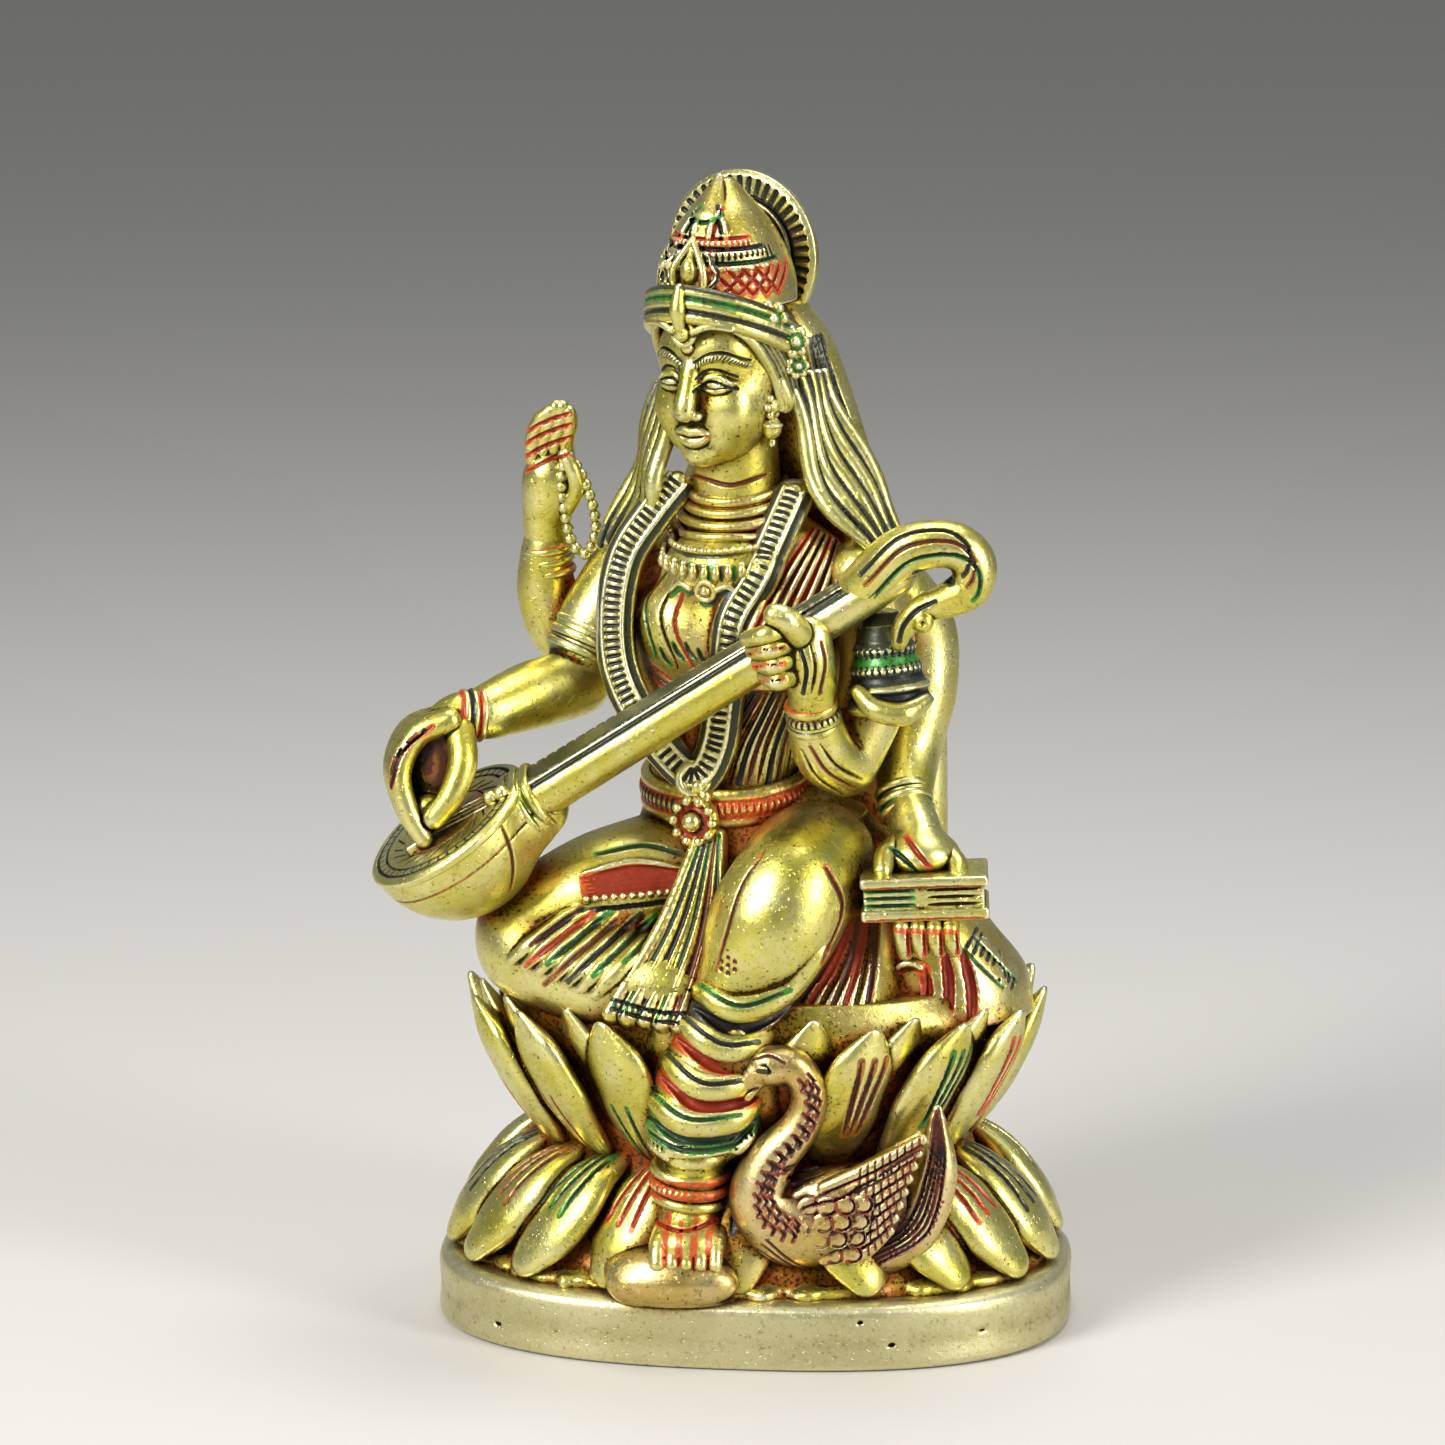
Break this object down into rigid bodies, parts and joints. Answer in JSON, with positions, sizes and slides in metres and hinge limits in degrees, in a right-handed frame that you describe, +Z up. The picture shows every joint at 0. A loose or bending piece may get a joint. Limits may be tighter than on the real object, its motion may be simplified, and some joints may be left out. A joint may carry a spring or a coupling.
{
  "type": "deity statuette",
  "caption": "Cast brass statuette of a seated four-armed figure playing a long-necked lute on a double lotus, with a swan at its feet.",
  "frame": {"origin": "centre of the plinth's flat underside, on the surface that the statuette stands on", "axes": "+Z up, the plinth's front faces -Y, and +X runs along the plinth's long side to the viewer's right"},
  "size_m": [0.0943, 0.061, 0.158],
  "materials": {
    "plinth_brass": "satin lacquered brass with fine casting pits",
    "polished_brass": "polished and lacquered, darker in the recesses",
    "tinted_brass": "lacquered brass with red and green enamel paint in the grooves",
    "dark_brass": "lacquered brass with black and dark green paint in the grooves",
    "swan_brass": "lacquered brass with red-brown paint in the recesses"
  },
  "bodies": {
    "root": {"plinth": "plinth_brass", "lotus_core": "polished_brass", "lotus_lower_petals": "polished_brass", "lotus_upper_petals": "polished_brass", "seat_drape": "tinted_brass", "foot_rest": "swan_brass", "skirt": "polished_brass", "right_leg": "polished_brass", "left_leg": "polished_brass", "left_foot": "polished_brass", "anklets": "polished_brass", "front_pleats": "tinted_brass", "belt": "tinted_brass", "belt_buckle": "tinted_brass", "torso": "polished_brass", "shoulder_sash": "tinted_brass", "garland": "dark_brass", "neck": "polished_brass", "choker_rings": "tinted_brass", "collar": "tinted_brass", "pendant": "dark_brass", "head": "polished_brass", "hair": "dark_brass", "hair_locks": "dark_brass", "veil": "polished_brass", "crown_band": "polished_brass", "crown_cone": "tinted_brass", "crown_jewel": "polished_brass", "crown_finial": "tinted_brass", "side_flower": "polished_brass", "earrings": "polished_brass", "halo": "dark_brass", "right_front_arm": "polished_brass", "right_armlet": "polished_brass", "right_front_hand": "polished_brass", "right_rear_arm": "polished_brass", "right_rear_bangle": "polished_brass", "right_rear_hand": "polished_brass", "prayer_beads": "dark_brass", "left_front_arm": "polished_brass", "left_front_bangle": "polished_brass", "left_front_hand": "polished_brass", "left_rear_arm": "polished_brass", "left_rear_bangle": "polished_brass", "left_rear_hand": "polished_brass", "book": "polished_brass", "lute_bowl": "polished_brass", "lute_soundboard": "polished_brass", "lute_neck": "polished_brass", "lute_collar": "polished_brass", "lute_strings": "polished_brass", "lute_scroll": "polished_brass", "lute_gourd": "dark_brass", "swan_body": "swan_brass", "swan_wings": "swan_brass", "swan_tail": "swan_brass"}
  },
  "joints": []
}
